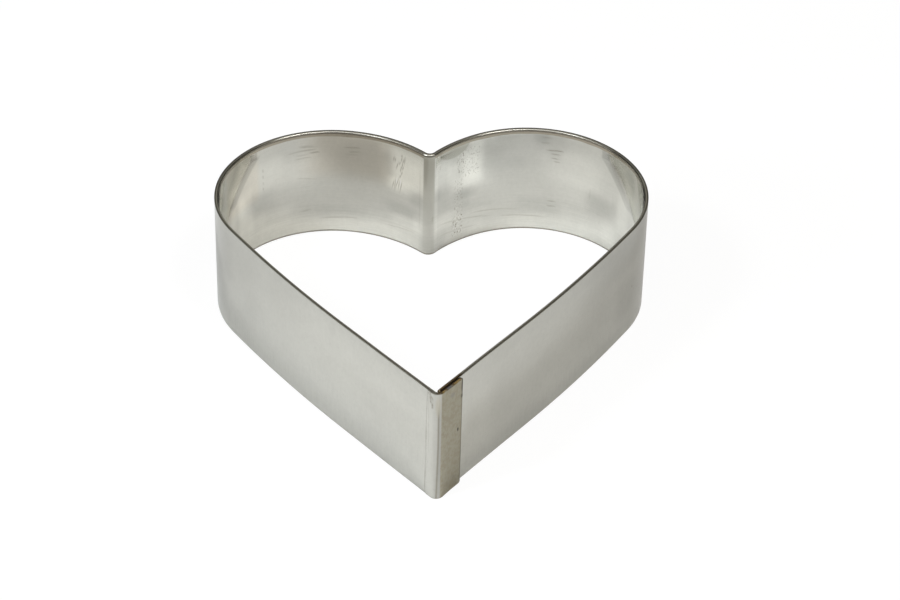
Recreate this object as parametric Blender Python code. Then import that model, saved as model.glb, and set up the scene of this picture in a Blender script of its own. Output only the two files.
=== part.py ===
"""Heart cake ring: one bent steel strip, lapped at the tip and held by three spot welds.

Metres, +Z up. The ring stands on its lower rim. The origin is the middle of the ring's
bounding box, at the level of that rim. The tip points to -Y and the notch to +Y.

The plan is drawn for the strip's middle surface. Its datum is the corner where the lines of
the two straight arms cross, with +Y running from there to the notch. Seen from that corner,
each half is a straight arm, a slightly bowed flank, a round lobe and a crown that dips to the
notch. The strip turns round the tip beyond the datum and lies along the outside of the right
arm as a flap.
"""

import math

import bmesh
import bpy
from mathutils import Matrix, Vector

# The strip
STRIP_HEIGHT = 0.045
SHEET = 0.0012
RIM_ROUNDING = 0.0003
CORNER_RADIUS = 0.0010

# Plan of the strip's middle surface, angles in degrees
NOTCH_REACH = 0.1393
NOTCH_BEND_RADIUS = 0.0026
TIP_BEND_RADIUS = 0.0020
RIGHT_ARM_ANGLE = 38.9
RIGHT_ARM_LENGTH = 0.0506
RIGHT_FLANK_RADIUS = 0.587
RIGHT_FLANK_TURN = 6.62
RIGHT_LOBE_RADIUS = 0.0415
RIGHT_LOBE_TURN = 150.9
LEFT_ARM_ANGLE = 39.25
LEFT_ARM_LENGTH = 0.0488
LEFT_FLANK_RADIUS = 0.589
LEFT_FLANK_TURN = 6.56
LEFT_LOBE_RADIUS = 0.04125
LEFT_LOBE_TURN = 129.4

# The lap at the tip
LAP_GAP = 0.0002
FLAP_LENGTH = 0.0123
INNER_END_REACH = 0.0003

# The spot welds: setback from the flap's free end, and height
NUGGET_RADIUS = 0.0013
NUGGET_DEPTH = 0.00035
NUGGET_ROUNDING = 0.00015
NUGGET_CLEARANCE = 0.0003
TOP_WELD_SETBACK = 0.0053
TOP_WELD_BELOW_RIM = 0.0038
MIDDLE_WELD_SETBACK = 0.0025
MIDDLE_WELD_LIFT = 0.00125
BOTTOM_WELD_SETBACK = 0.0037
BOTTOM_WELD_ABOVE_RIM = 0.0047

# How finely round shapes are faceted
FACET_SAG = 0.00001
CORNER_SEGMENTS = 4
ROUNDING_SEGMENTS = 2
NUGGET_SIDES = 24
RIM_EDGE_ANGLE = 45.0


def clear_scene():
    """Remove whatever the open file holds."""
    for item in list(bpy.data.objects):
        bpy.data.objects.remove(item, do_unlink=True)


def steel(name, colour, roughness):
    """A bare metal material."""
    material = bpy.data.materials.new(name)
    material.use_nodes = True
    shader = material.node_tree.nodes["Principled BSDF"]
    shader.inputs["Base Color"].default_value = (*colour, 1.0)
    shader.inputs["Metallic"].default_value = 1.0
    shader.inputs["Roughness"].default_value = roughness
    return material


def along(side, angle):
    """Unit vector that leaves the datum corner at an angle from +Y, on one side (+1 right)."""
    return Vector((side * math.sin(angle), math.cos(angle)))


def inward(side, angle):
    """Unit vector square to along(), pointing into the heart."""
    return Vector((-side * math.cos(angle), math.sin(angle)))


def turn_between(start, end):
    """Signed angle from one plan vector to another, anticlockwise positive."""
    return math.atan2(start.cross(end), start.dot(end))


def arc(centre, start, turn):
    """Points after start on the arc that turns by an angle about a centre."""
    spoke = start - centre
    step = 2 * math.acos(1 - FACET_SAG / spoke.length)
    count = math.ceil(abs(turn) / step)
    return [centre + Matrix.Rotation(turn * i / count, 2) @ spoke for i in range(1, count + 1)]


def half_plan(side, arm_angle, arm_length, flank_radius, flank_turn, lobe_radius, lobe_turn):
    """Points of one half from the arm's upper end to the crown, and the crown's circle.

    The crown is the arc that leaves the lobe smoothly and aims for the notch corner.
    """
    angle = math.radians(arm_angle)
    point = along(side, angle) * arm_length
    points = [point]
    for radius, turn in ((flank_radius, flank_turn), (lobe_radius, lobe_turn)):
        centre = point + inward(side, angle) * radius
        points += arc(centre, point, side * math.radians(turn))
        point = points[-1]
        angle -= math.radians(turn)
    to_notch = Vector((0.0, NOTCH_REACH)) - point
    radius = to_notch.length_squared / (2 * to_notch.dot(inward(side, angle)))
    centre = point + inward(side, angle) * radius
    return points, centre, radius


def upper_crossing(centre_a, radius_a, centre_b, radius_b):
    """The crossing of two circles that lies further along +Y."""
    between = centre_b - centre_a
    span = between.length
    foot = (span ** 2 + radius_a ** 2 - radius_b ** 2) / (2 * span)
    rise = math.sqrt(radius_a ** 2 - foot ** 2)
    across = between / span
    square = Vector((-across.y, across.x))
    return centre_a + across * foot + square * math.copysign(rise, square.y)


def notch_and_crowns(left, right):
    """Points from the left lobe to the right lobe, over both crowns and round the notch."""
    left_points, left_centre, left_radius = left
    right_points, right_centre, right_radius = right
    bend_centre = upper_crossing(left_centre, left_radius + NOTCH_BEND_RADIUS,
                                 right_centre, right_radius + NOTCH_BEND_RADIUS)
    left_touch = left_centre + (bend_centre - left_centre).normalized() * left_radius
    right_touch = right_centre + (bend_centre - right_centre).normalized() * right_radius
    left_turn = turn_between(left_points[-1] - left_centre, left_touch - left_centre)
    bend_turn = turn_between(left_touch - bend_centre, right_touch - bend_centre)
    right_turn = turn_between(right_touch - right_centre, right_points[-1] - right_centre)
    return (arc(left_centre, left_points[-1], left_turn)
            + arc(bend_centre, left_touch, bend_turn)
            + arc(right_centre, right_touch, right_turn))


def tip_corner():
    """Where the flap's line crosses the left arm's line, beyond the datum corner."""
    lap = SHEET + LAP_GAP
    spread = math.radians(LEFT_ARM_ANGLE + RIGHT_ARM_ANGLE)
    return -along(-1, math.radians(LEFT_ARM_ANGLE)) * lap / math.sin(spread)


def tip_tangent():
    """Length of each straight line that the tip bend takes up, from its corner."""
    turn = math.pi - math.radians(LEFT_ARM_ANGLE + RIGHT_ARM_ANGLE)
    return TIP_BEND_RADIUS * math.tan(turn / 2)


def strip_plan():
    """The strip's middle line, from the flap's free end round to the end inside the tip."""
    right_way = along(1, math.radians(RIGHT_ARM_ANGLE))
    corner = tip_corner()
    flap_end = corner + right_way * FLAP_LENGTH
    bend_start = corner + right_way * tip_tangent()
    bend_centre = bend_start + inward(1, math.radians(RIGHT_ARM_ANGLE)) * TIP_BEND_RADIUS
    bend_turn = math.pi - math.radians(LEFT_ARM_ANGLE + RIGHT_ARM_ANGLE)
    left = half_plan(-1, LEFT_ARM_ANGLE, LEFT_ARM_LENGTH, LEFT_FLANK_RADIUS,
                     LEFT_FLANK_TURN, LEFT_LOBE_RADIUS, LEFT_LOBE_TURN)
    right = half_plan(1, RIGHT_ARM_ANGLE, RIGHT_ARM_LENGTH, RIGHT_FLANK_RADIUS,
                      RIGHT_FLANK_TURN, RIGHT_LOBE_RADIUS, RIGHT_LOBE_TURN)
    inner_end = right_way * (bend_start.dot(right_way) - INNER_END_REACH)
    return ([flap_end, bend_start]
            + arc(bend_centre, bend_start, -bend_turn)
            + left[0]
            + notch_and_crowns(left, right)
            + right[0][-2::-1]
            + [inner_end])


def strip_mesh(plan):
    """The middle surface: the plan line raised to the strip's height, with rounded corners."""
    mesh = bpy.data.meshes.new("heart_band")
    shape = bmesh.new()
    line = [shape.verts.new((point.x, point.y, 0.0)) for point in plan]
    edges = [shape.edges.new(pair) for pair in zip(line, line[1:])]
    raised = bmesh.ops.extrude_edge_only(shape, edges=edges)
    tops = [item for item in raised["geom"] if isinstance(item, bmesh.types.BMVert)]
    bmesh.ops.translate(shape, verts=tops, vec=(0.0, 0.0, STRIP_HEIGHT))
    corners = [vert for vert in shape.verts if len(vert.link_edges) == 2]
    bmesh.ops.bevel(shape, geom=corners, offset=CORNER_RADIUS, segments=CORNER_SEGMENTS,
                    profile=0.5, affect="VERTICES")
    shape.to_mesh(mesh)
    shape.free()
    mesh.shade_smooth()
    return mesh


def make_band(frame, material):
    """The one steel strip, with its thickness and its deburred rims."""
    band = bpy.data.objects.new("heart_band", strip_mesh(strip_plan()))
    bpy.context.collection.objects.link(band)
    band.parent = frame
    band.data.materials.append(material)
    thickness = band.modifiers.new("thickness", "SOLIDIFY")
    thickness.thickness = SHEET
    thickness.offset = 0.0
    thickness.use_even_offset = True
    rims = band.modifiers.new("deburred_rims", "BEVEL")
    rims.width = RIM_ROUNDING
    rims.segments = ROUNDING_SEGMENTS
    rims.limit_method = "ANGLE"
    rims.angle_limit = math.radians(RIM_EDGE_ANGLE)
    return band


def disc(name, radius, half_depth, frame, place):
    """A short cylinder across the lap, with its axis square to the right arm."""
    mesh = bpy.data.meshes.new(name)
    shape = bmesh.new()
    bmesh.ops.create_cone(shape, cap_ends=True, segments=NUGGET_SIDES, radius1=radius,
                          radius2=radius, depth=2 * half_depth)
    shape.to_mesh(mesh)
    shape.free()
    item = bpy.data.objects.new(name, mesh)
    bpy.context.collection.objects.link(item)
    item.parent = frame
    item.location = place
    outward = -inward(1, math.radians(RIGHT_ARM_ANGLE))
    item.rotation_euler = Vector((outward.x, outward.y, 0.0)).to_track_quat("Z", "Y").to_euler()
    return item


def weld_places():
    """Name and centre of each spot weld, half way across the gap of the lap."""
    angle = math.radians(RIGHT_ARM_ANGLE)
    right_way = along(1, angle)
    flap_end = (tip_corner() + right_way * FLAP_LENGTH).dot(right_way)
    across = -inward(1, angle) * (SHEET + LAP_GAP) / 2
    top = STRIP_HEIGHT - TOP_WELD_BELOW_RIM
    middle = (top + BOTTOM_WELD_ABOVE_RIM) / 2 + MIDDLE_WELD_LIFT
    rows = (("spot_weld_top", TOP_WELD_SETBACK, top),
            ("spot_weld_middle", MIDDLE_WELD_SETBACK, middle),
            ("spot_weld_bottom", BOTTOM_WELD_SETBACK, BOTTOM_WELD_ABOVE_RIM))
    for name, setback, height in rows:
        place = right_way * (flap_end - setback) + across
        yield name, Vector((place.x, place.y, height))


def make_welds(band, frame, material):
    """Three nuggets, each in a blind seat that reaches into both layers of the lap."""
    half_depth = LAP_GAP / 2 + NUGGET_DEPTH
    for name, place in weld_places():
        nugget = disc(name, NUGGET_RADIUS, half_depth, frame, place)
        nugget.data.shade_smooth()
        nugget.data.materials.append(material)
        edge = nugget.modifiers.new("rounded_edge", "BEVEL")
        edge.width = NUGGET_ROUNDING
        edge.segments = ROUNDING_SEGMENTS
        edge.limit_method = "ANGLE"
        edge.angle_limit = math.radians(RIM_EDGE_ANGLE)
        cutter = disc(name + "_seat_cutter", NUGGET_RADIUS + NUGGET_CLEARANCE,
                      half_depth + NUGGET_CLEARANCE, frame, place)
        cutter.hide_render = True
        cutter.display_type = "WIRE"
        seat = band.modifiers.new(name + "_seat", "BOOLEAN")
        seat.object = cutter
        seat.operation = "DIFFERENCE"


def stand_on_origin(frame, band):
    """Move everything so that the band's box is centred on the origin and stands on Z = 0."""
    evaluated = band.evaluated_get(bpy.context.evaluated_depsgraph_get())
    low, high = (Vector(map(pick, zip(*evaluated.bound_box))) for pick in (min, max))
    frame.location = (-(low.x + high.x) / 2, -(low.y + high.y) / 2, -low.z)


def main():
    clear_scene()
    frame = bpy.data.objects.new("ring_frame", None)
    bpy.context.collection.objects.link(frame)
    band = make_band(frame, steel("stainless_steel", (0.60, 0.60, 0.56), 0.30))
    make_welds(band, frame, steel("weld_metal", (0.30, 0.28, 0.25), 0.55))
    stand_on_origin(frame, band)
    bpy.context.view_layer.update()


main()
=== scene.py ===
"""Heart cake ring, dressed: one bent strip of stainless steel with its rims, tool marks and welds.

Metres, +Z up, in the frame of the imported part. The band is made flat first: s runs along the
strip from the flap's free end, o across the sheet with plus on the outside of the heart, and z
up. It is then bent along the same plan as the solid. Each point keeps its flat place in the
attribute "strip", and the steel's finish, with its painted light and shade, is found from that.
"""
import cmath
import math

import bmesh
import bpy
import numpy as np
from mathutils import Matrix, Vector, noise


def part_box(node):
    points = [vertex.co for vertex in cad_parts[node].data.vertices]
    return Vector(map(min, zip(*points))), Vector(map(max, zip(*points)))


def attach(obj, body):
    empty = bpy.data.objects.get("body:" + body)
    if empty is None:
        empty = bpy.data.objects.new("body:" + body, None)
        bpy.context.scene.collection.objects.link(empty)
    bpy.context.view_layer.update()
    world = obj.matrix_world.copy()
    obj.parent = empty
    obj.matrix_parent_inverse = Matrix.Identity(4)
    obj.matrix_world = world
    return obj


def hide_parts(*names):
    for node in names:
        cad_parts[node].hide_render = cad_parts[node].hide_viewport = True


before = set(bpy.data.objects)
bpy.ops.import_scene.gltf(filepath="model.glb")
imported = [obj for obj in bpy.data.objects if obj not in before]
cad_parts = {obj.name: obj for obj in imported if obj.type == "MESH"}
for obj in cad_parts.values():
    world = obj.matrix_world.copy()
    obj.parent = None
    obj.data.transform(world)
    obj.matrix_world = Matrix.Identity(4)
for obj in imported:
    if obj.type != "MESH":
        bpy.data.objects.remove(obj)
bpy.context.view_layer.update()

MM = 0.001
PER_MM = (1 / MM, 1 / MM, 1 / MM)

# The strip and its plan, as in the solid: middle surface, angles in degrees
STRIP_HEIGHT = 0.045
SHEET = 0.0012
NOTCH_REACH = 0.1393
NOTCH_BEND_RADIUS = 0.0026
TIP_BEND_RADIUS = 0.0020
RIGHT_ARM_ANGLE = 38.9
RIGHT_ARM_LENGTH = 0.0506
RIGHT_FLANK_RADIUS = 0.587
RIGHT_FLANK_TURN = 6.62
RIGHT_LOBE_RADIUS = 0.0415
RIGHT_LOBE_TURN = 150.9
LEFT_ARM_ANGLE = 39.25
LEFT_ARM_LENGTH = 0.0488
LEFT_FLANK_RADIUS = 0.589
LEFT_FLANK_TURN = 6.56
LEFT_LOBE_RADIUS = 0.04125
LEFT_LOBE_TURN = 129.4
LAP_GAP = 0.0002
FLAP_LENGTH = 0.0123
FLAP_LONGER = 0.0002
INNER_END_REACH = 0.0003

# Edges of the sheet: arcs of (tilt in degrees at its end, radius), from the face up. A hollow arc has
# a minus radius
OUTER_EDGE = ((90.0, 0.15 * MM),)
TOP_INNER_EDGE = ((-13.0, -7.0 * MM), (90.0, 0.45 * MM))
BOTTOM_INNER_EDGE = ((20.0, 1.6 * MM), (90.0, 0.3 * MM))
TILT_STEP = 9.0
TOP_CORNER_RADIUS = 0.4 * MM
BOTTOM_CORNER_RADIUS = 1.0 * MM
END_ROUNDING = 0.15 * MM

# How finely the strip is meshed: spacing of rows and columns, and how fast it grows outside a zone
ROW_SPACING = 1.0 * MM
COARSEST_COLUMNS = 1.6 * MM
COLUMN_GROWTH = 0.2
LOBE_COLUMNS = 1.05 * MM
BEND_COLUMNS = 0.22 * MM
MARK_COLUMNS = 0.35 * MM
LINE_COLUMNS = 0.09 * MM
END_COLUMNS = 0.03 * MM
ROUTE_SAMPLES = 25001
OUTLINE_SAMPLES = 20001
# Share of the thickness beyond which a place counts as on a face
ON_A_FACE = 0.49
# Stretches inside the lobes with upright marks, in millimetres along the strip
MARKED_STRETCHES = ((188.4, 189.1), (323.7, 324.4), (240.0, 246.5), (252.8, 253.4))
# Zones that are cut finer for their marks: low (s, z) and high (s, z) in millimetres, the side of the
# sheet (1 outer, -1 inner), how many cuts, and whether they add rows only
FINER_ZONES = (
    ((0.2, 21), (7, 28), 1, 3, False), ((1, 3), (7, 7), 1, 1, False),
    ((12.5, 38.5), (15.4, 44.8), 1, 3, False), ((240, 23), (246.5, 41), -1, 2, False),
    ((172, 24), (187.5, 43), -1, 1, False), ((328, 23), (350, 43), -1, 1, False),
    ((187.6, 24), (189.8, 35), -1, 2, True), ((200, 5), (229, 39), -1, 2, True),
    ((233, 5), (255, 9.5), -1, 2, True), ((259.5, 3), (288, 13), -1, 2, True),
    ((288, 5), (314, 43), -1, 2, True))

# The sheet's gentle shape. Each wave has its lengths along s and z, its height and its seed. A pair of
# distances along the strip, or of heights, is where a change starts and ends
SHEET_WAVES = (((34 * MM, 40 * MM), 0.05 * MM, 3.1), ((15 * MM, 26 * MM), 0.012 * MM, 7.7))
FLAT_NEAR_ENDS = (20 * MM, 14 * MM)
FLAP_LEAN_TOP = 0.10 * MM
FLAP_LEAN_BOTTOM = -0.17 * MM
FLAP_LEAN_OVER = 5 * MM
FLAP_LONGER_OVER = 4 * MM
TIP_PULLED_IN = 0.012 * MM
TIP_PULL_STARTS = (9 * MM, 11 * MM)
TIP_PULL_ENDS = (18 * MM, 15 * MM)
DIE_STEP_DEPTH = 0.10 * MM
DIE_STEP_HALF_WIDTH = 0.15 * MM
DIE_STEP_FADE = 20 * MM
LEFT_RIM_THINNER = 0.20 * MM
LEFT_THIN_STARTS = (14 * MM, 18 * MM)
LEFT_THIN_ENDS = (170 * MM, 140 * MM)
RIGHT_RIM_THINNER = 0.10 * MM
RIGHT_THIN_STARTS = (345 * MM, 375 * MM)
THINNED_ROWS = (43.4 * MM, 44.8 * MM)

# Lap and tip, as distances along the strip
FLAP_FACE_END = 10.5 * MM
CREASE_AT = 11.3 * MM
DIE_LINE_AT = 15.8 * MM

# Dents in the outer face, in millimetres: middle (s, z), half sizes, tilt in radians and height, plus
# outward: the weld pit, its rim, the low weld, the top weld and a raised nick in the flap's end
OUTER_DENTS = (
    ((2, 24.5), (0.22, 0.6), -0.12, -0.22), ((2, 24.5), (0.6, 1.1), -0.12, 0.03),
    ((3.8, 5), (0.8, 0.8), 0, -0.035), ((5.3, 41.2), (1.3, 1.3), 0, -0.02),
    ((0, 38), (0.35, 0.8), 0, 0.10))

# Lines of the folding tool at the tip, in millimetres: (s, z) points, width and strength
DIE_LINES = ((((15.7, 45), (16.15, 34), (16.2, 20), (16.5, 0)), 0.18, 0.8),
             (((15, 43), (14.8, 20)), 0.16, 0.4))
# The crease and the cracks are also painted dark in colour: painted shade in these recesses
CREASES = ((((11.4, 41), (11.35, 22), (11.65, 0)), 0.27, 0.95),)
CREASE_FADES_IN = (41 * MM, 35 * MM)
CRACKS = ((((14.4, 44.5), (14, 43.5), (13.3, 42.4), (13.2, 39)), 0.34, 1),
          (((15.7, 44.2), (14.8, 43.4)), 0.2, 1), (((14.3, 42.8), (13.9, 40.4)), 0.3, 1))
# How uneven they are: middle strength, how much it varies, lengths along s and z, and the seed
DIE_LINE_BLOTCHES = (0.75, 0.9, (3 * MM, 2.5 * MM), 4.2)
CRACK_BLOTCHES = (0.9, 1.3, (0.8 * MM, 1.0 * MM), 9.1)
FAINTEST_BLOTCH = 0.2
TIP_LINE_DEPTH = 0.05 * MM

# The drop of metal squeezed out of the top weld
BEAD_ENDS = (5.0 * MM, 8.0 * MM)
BEAD_COLUMNS = 28
BEAD_SIDES = 14
BEAD_HALF_WIDTH = 0.42 * MM
BEAD_HALF_HEIGHT = 0.5 * MM
BEAD_BELOW_RIM = 0.75 * MM
BEAD_LUMPS = 0.25
BEAD_LUMP_LENGTH = 0.7 * MM

# Scratches along the inside of the lobes, in millimetres: start (s, z), end (s, z) and strength
SCRATCHES = (
    (199.4, 36.9, 205.2, 37.3, 0.5), (203.4, 37.3, 210.7, 37.4, 0.8), (207.9, 35.9, 212.1, 36.3, 1),
    (204.3, 38.9, 210.3, 38.6, 0.6), (203.2, 35.3, 207.4, 35.4, 0.4), (222.2, 34.9, 227, 35.5, 0.35),
    (202.4, 33.9, 208.8, 34.2, 0.5), (221.2, 38.1, 227.5, 38.6, 0.7), (222.8, 36.2, 227.2, 36.8, 0.6),
    (202.7, 25.5, 210.7, 24, 0.3), (204.5, 10, 208.4, 10.7, 0.5), (211.5, 6.2, 227.2, 6.9, 0.5),
    (303.9, 41.8, 307.7, 41.7, 0.6), (303.5, 39.3, 307.2, 39.4, 0.6), (305.8, 36.1, 312.8, 36.7, 1),
    (307.4, 34.7, 311.2, 34.8, 0.8), (308, 32.9, 310.7, 32.8, 0.8), (308.6, 31.4, 311.1, 31.5, 0.7),
    (307.2, 13.5, 309.9, 13.6, 0.8), (306.7, 11.2, 310, 11.4, 0.8), (289, 6.6, 307.5, 5.8, 0.5),
    (276.4, 10.9, 296.7, 9, 0.4), (236, 6.4, 251.5, 7.7, 0.3), (234.5, 7.8, 254, 8.4, 0.22),
    (253.1, 9, 253.1, 38, 0.28), (260.5, 11.8, 286, 7.2, 0.4), (262, 6.4, 279.5, 4.5, 0.3),
    (188.7, 24.6, 188.7, 26, 0.5), (188.7, 27.3, 188.7, 28.5, 0.4), (188.7, 29.8, 188.7, 31.4, 0.5),
    (188.7, 32.6, 188.7, 34.2, 0.5), (324, 18.5, 324.1, 23.3, 0.35), (261, 36.2, 261.6, 38.4, 0.4),
    (259, 38.4, 259, 41, 0.5), (257.7, 14.6, 258, 17.4, 0.6))
SCRATCH_WIDTH = 0.22 * MM
SCRATCH_DEPTH = 0.008 * MM
# Strokes of the bending tool to the left of the notch, in millimetres: middle (s, z) and half length
JAW_STROKES = (
    (240.9, 37.2, 1), (241.5, 36.9, 0.8), (242.4, 34.6, 1.6), (244.4, 39.5, 0.6), (244.3, 38, 1.1),
    (245, 37.2, 1.2), (245.7, 37.9, 1.6), (243.5, 36, 0.7), (244.7, 35.7, 1.2), (244.1, 34, 1),
    (244.9, 34.2, 0.9), (243.9, 33, 0.8), (244.4, 31.8, 0.9), (240.7, 25.9, 1.7), (241.5, 26.3, 2.4),
    (242.4, 26.8, 2.6), (243.2, 26.4, 1.9), (244.1, 25.8, 2.3), (243.7, 30.2, 0.7))
JAW_STROKE_WIDTH = 0.19 * MM
JAW_STROKE_DEPTH = 0.018 * MM
JAW_STROKE_TILT = 1.39
JAW_STROKE_SWAY = 0.10
JAW_STROKE_PHASE = 2.4
JAW_STROKE_SOIL = 0.8
# Painted reflections and shade: patches inside the lobes painted brighter or duller, in millimetres: middle
# (s, z), half sizes, change of brightness, power of the border, and for some a lean
LOBE_LIGHT_AND_SHADE_PATCHES = (
    (248, 34, 8, 9.4, 0.5, 6), (240, 29, 5, 7, 0.08, 4), (244, 25.5, 5, 3.5, 0.14, 4),
    (276.8, 32, 4.6, 8, 0.34, 4), (276, 26, 9, 4, 0.14, 4), (268, 31, 3, 5, 0.1, 4),
    (263, 34.5, 5, 6, 0.08, 4), (196, 30, 15, 7, 0.2, 4), (179, 17, 4.5, 11, 0.3, 4),
    (192, 9.5, 10, 4.5, 0.17, 4), (185.5, 12, 4, 4, 0.08, 4), (317, 30, 12, 8, 0.17, 4),
    (317, 21, 8, 6, 0.07, 4), (289, 43, 8, 5, 0.14, 4), (278.8, 42.5, 3, 3.5, 0.2, 4),
    (215, 1.5, 36, 6.2, 0.3, 4), (247, 10, 7, 3.5, 0.22, 4), (246, 1, 10, 6.5, 0.08, 4),
    (305, 1, 32, 6, 0.2, 4), (318, 7, 6, 4, 0.08, 4), (265, 12.5, 6, 3.5, 0.14, 4),
    (331, 9.5, 9, 6, 0.14, 4), (228.5, 32, 11.5, 8, -0.12, 4), (187, 20, 7, 5, -0.12, 4),
    (329, 17.5, 7, 5, -0.18, 4), (262.5, 21.5, 5, 6.5, -0.16, 4), (251.5, 23, 4, 3.5, -0.14, 4),
    (246, 15.5, 8, 3, -0.12, 4), (215, 14, 30, 5, -0.04, 4), (219, 9, 9, 3, -0.08, 4),
    (308, 41, 6, 6, -0.1, 4), (271.5, 19.5, 4.5, 5, -0.12, 4), (303, 11.5, 9, 4, -0.09, 4),
    (285, 32, 5, 6, -0.08, 4), (261.5, 4, 3.6, 4, -0.12, 4), (256.6, 40, 2.2, 7, -0.1, 4),
    (339.2, 32.2, 3.4, 7.6, -0.2, 16, -1), (177.3, 32.8, 2.9, 7.8, -0.24, 16, 0.96),
    (338.8, 35.3, 1.1, 8.5, 0.26, 4, -0.99), (176.9, 34.8, 1, 8, 0.28, 4, 0.97),
    (330.7, 42.2, 2, 2.7, -0.26, 16), (327, 12.3, 5, 2.6, -0.09, 4), (336.5, 21, 1.9, 3.5, -0.07, 4),
    (341.5, 14.5, 4, 3.5, 0.1, 4), (181.8, 22, 2.5, 4.2, -0.1, 4), (171.5, 19.5, 2.2, 6, 0.13, 4),
    (184.3, 42.2, 1.9, 2.6, -0.24, 16), (176, 39, 5, 5, -0.06, 4), (259.3, 21, 0.8, 24, 0.09, 6),
    (248.5, 41.5, 5, 4.2, -0.13, 4), (238, 41.5, 3, 3.5, 0.13, 4), (241, 26.5, 3.6, 2.6, 0.15, 4),
    (253.5, 26, 2.4, 2.6, -0.11, 4), (252.5, 12, 2.6, 4, 0.15, 4), (274, 21, 5, 2.6, -0.13, 4),
    (276, 14.5, 10, 2.6, -0.09, 4), (260, 26, 2, 3, -0.09, 4), (294, 30.5, 4.5, 3, -0.07, 4),
    (309.5, 34.5, 3, 3, -0.09, 4), (304, 42.5, 3, 3.5, -0.12, 4), (334, 6, 4, 6, 0.09, 4),
    (201, 35, 4, 3, -0.08, 4), (236, 8, 6, 4.5, 0.07, 4), (210, 1.5, 9, 3, 0.07, 4),
    (288, 4, 6, 4, -0.06, 4), (256.6, 2, 3.5, 5.5, -0.16, 4), (260.2, 42, 1.3, 3, 0.2, 4),
    (259.5, 1, 4, 3, -0.08, 4), (268, 43.5, 6, 2, -0.12, 4), (174, 23, 4, 5, 0.14, 4),
    (341.5, 22, 3.5, 7, 0.13, 4), (180.5, 42.5, 2.4, 2.4, -0.18, 4), (161, 40, 2.5, 4, 0.18, 4))
# The same on the outer face: painted reflections and shade
OUTER_LIGHT_AND_SHADE_PATCHES = (
    (45, 36, 38, 7, 0.06, 4), (484, 20, 10, 12, 0.1, 4), (126, 17, 7, 6, 0.04, 4),
    (393, 38, 24, 9, -0.11, 4), (435, 0, 60, 6, -0.1, 4), (65.9, 39.5, 1.7, 1.8, -0.05, 4),
    (45.5, 20, 3.2, 2.6, -0.04, 4), (10.85, 20, 0.55, 24, -0.24, 6), (12.2, 20, 0.6, 24, -0.06, 4),
    (110, 42, 26, 12, -0.06, 4), (430, 43, 60, 4, -0.04, 4), (389, 17, 8, 9, -0.1, 4),
    (400, 25, 25, 25, -0.035, 4), (124, 22, 14, 20, -0.06, 4), (458, 4, 14, 5, -0.04, 4),
    (134, 34, 6, 14, -0.08, 4))

# Camera, fitted to the outlines of the ring in the photograph, angles in degrees
CAMERA_TARGET = Vector((0.0063103, 0.0025167, 0.0225))
CAMERA_AZIMUTH = -1.78856
CAMERA_ELEVATION = 36.61283
CAMERA_ROLL = 1.31095
CAMERA_DISTANCE = 1.0769575
LENS = 121.64
SENSOR = 36.0

# Light, at one distance from the ring
LIGHT_DISTANCE = 1.5
COOL = (0.94, 0.97, 1.0)
NEUTRAL = (1.0, 1.0, 0.99)
WARM = (1.0, 0.96, 0.88)
# Name, azimuth, elevation, side in metres, watts and colour
LIGHTS = (("left_low", 298, 25, 0.3, 7.3, COOL), ("left_middle", 297, 47, 0.3, 7.3, COOL),
          ("right_high", 43, 61, 0.3, 6.4, NEUTRAL), ("right_low", 57, 49, 0.3, 2.9, WARM),
          ("overhead", 330, 84, 1.3, 7.2, WARM))
FLOOR_SIZE = 8.0
FLOOR_BELOW = 0.05 * MM
FLOOR_ALBEDO = 0.8
FLOOR_SHOWN_WHITE = 0.86
FLOOR_GLOW = 1.06


def dot(a, b):
    """Dot product of two plan vectors, written as complex numbers."""
    return (a * b.conjugate()).real


def walk(point, heading, length, turn):
    """Point and heading after a run of some length that turns by an angle, anticlockwise positive."""
    half = turn / 2
    reach = length if turn == 0 else length * math.sin(half) / half
    return point + reach * heading * cmath.exp(1j * half), heading * cmath.exp(1j * turn)


def lobe_end(side, angle, arm, arcs):
    """End of one half's lobe, and the centre and radius of the crown that goes on to the notch."""
    heading = cmath.exp(1j * (math.pi / 2 - side * angle))
    point = arm * heading
    for radius, turn in arcs:
        point, heading = walk(point, heading, radius * turn, side * turn)
    across = 1j * side * heading
    to_notch = 1j * NOTCH_REACH - point
    radius = abs(to_notch) ** 2 / (2 * dot(to_notch, across))
    return point, point + across * radius, radius


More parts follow.
